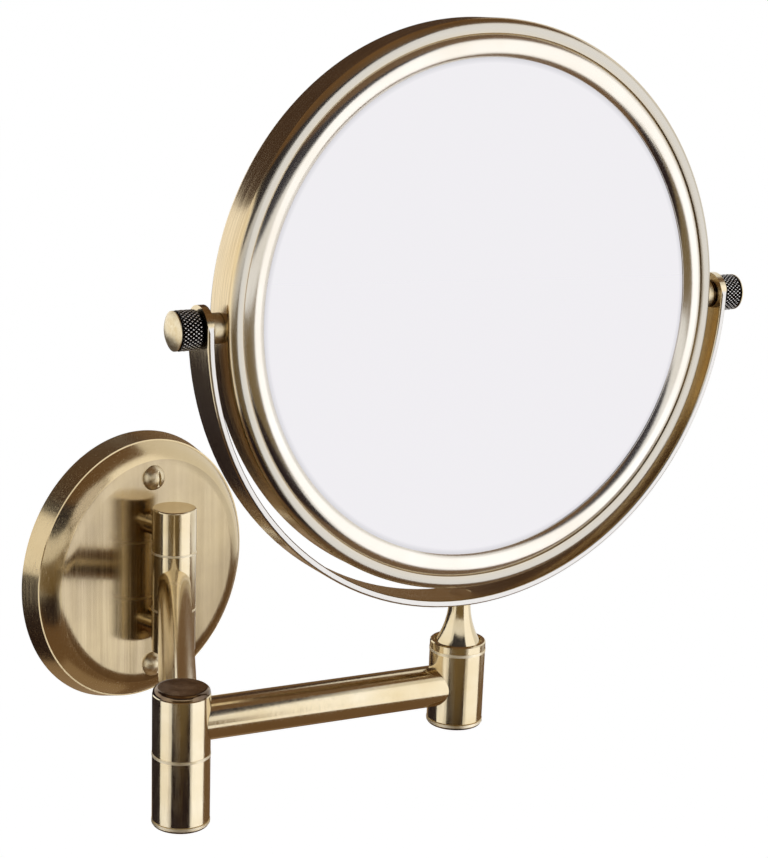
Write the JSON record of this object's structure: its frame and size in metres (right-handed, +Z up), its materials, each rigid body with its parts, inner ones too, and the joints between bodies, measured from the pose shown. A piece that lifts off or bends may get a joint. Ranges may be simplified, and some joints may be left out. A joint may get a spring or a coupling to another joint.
{
  "type": "wall-mounted swing-arm makeup mirror",
  "caption": "Double-sided round makeup mirror that tilts in a half-ring yoke, on a jointed swing arm hinged from a round wall rosette, in antique brass.",
  "frame": {"origin": "centre of the rosette's back face, on the wall plane", "axes": "+Y into the wall, +X to the right seen from the room, +Z up; the mirror stands out towards -Y; rest pose as pictured"},
  "size_m": [0.2014, 0.2807, 0.2876],
  "materials": {
    "brushed_brass": "antique brass, brushed up and down",
    "frame_brass": "antique brass, brushed round the rim",
    "bezel_brass": "antique brass, polished",
    "polished_brass": "antique brass, polished and lacquered",
    "band_brass": "antique brass, polished",
    "dark_brass": "dark antique patina, polished",
    "washer_brass": "bright brass",
    "satin_brass": "bright brass, satin",
    "knurled_brass": "blackened brass, diamond knurl",
    "steel": "zinc plated",
    "mirror_glass": "silvered glass",
    "core_board": "moulded core"
  },
  "bodies": {
    "wall_mount": {"rosette": "brushed_brass", "wall_screws": "satin_brass", "upper_stub": "polished_brass", "lower_stub": "polished_brass", "stub_screws": "steel", "upper_post_knuckle": "polished_brass", "lower_post_knuckle": "polished_brass", "wall_pin": "steel", "wall_washers": "washer_brass"},
    "inner_arm": {"inner_arm_knuckle": "polished_brass", "inner_arm_tube": "polished_brass", "elbow_lower_knuckle": "polished_brass", "elbow_pin": "steel", "elbow_nut": "steel", "elbow_washer": "washer_brass", "elbow_bottom_ring": "washer_brass", "elbow_bottom_cap": "dark_brass"},
    "outer_arm": {"elbow_upper_knuckle": "polished_brass", "elbow_top_cap": "dark_brass", "outer_arm_tube": "polished_brass", "end_socket": "polished_brass", "end_bottom_ring": "washer_brass", "end_bottom_cap": "dark_brass", "swivel_washer": "washer_brass"},
    "yoke": {"swivel_collar": "polished_brass", "bell_stem": "polished_brass", "spindle_nut": "steel", "yoke_band": "band_brass", "band_screw": "band_brass"},
    "mirror_head": {"frame_ring": "frame_brass", "front_bezel": "bezel_brass", "rear_bezel": "bezel_brass", "plain_glass": "mirror_glass", "magnifying_glass": "mirror_glass", "core_disc": "core_board", "pivot_bosses": "satin_brass", "pivot_washers": "dark_brass"},
    "left_knob": {"left_knob_stud": "steel", "left_knob_grip": "knurled_brass", "left_knob_cap": "satin_brass"},
    "right_knob": {"right_knob_stud": "steel", "right_knob_grip": "knurled_brass", "right_knob_cap": "satin_brass"}
  },
  "joints": [
    {"name": "wall_swing", "type": "hinge", "parent": "wall_mount", "child": "inner_arm", "pos_m": [0, -0.0264, 0], "axis": [0, 0, 1], "range_deg": [-47, 129]},
    {"name": "elbow_swing", "type": "hinge", "parent": "inner_arm", "child": "outer_arm", "pos_m": [-0.13422, -0.18135, 0.01105], "axis": [0, 0, 1], "continuous": true},
    {"name": "head_swivel", "type": "hinge", "parent": "outer_arm", "child": "yoke", "pos_m": [-0.04553, -0.2154, 0.03325], "axis": [0, 0, 1], "continuous": true},
    {"name": "mirror_tilt", "type": "hinge", "parent": "yoke", "child": "mirror_head", "pos_m": [-0.04553, -0.2154, 0.14373], "axis": [0.9563, -0.2924, 0], "continuous": true},
    {"name": "left_knob_turn", "type": "hinge", "parent": "mirror_head", "child": "left_knob", "pos_m": [-0.13829, -0.18704, 0.14373], "axis": [-0.9563, 0.2924, 0], "range_deg": [-180, 180]},
    {"name": "right_knob_turn", "type": "hinge", "parent": "mirror_head", "child": "right_knob", "pos_m": [0.04723, -0.24375, 0.14373], "axis": [0.9563, -0.2924, 0], "range_deg": [-180, 180]}
  ]
}
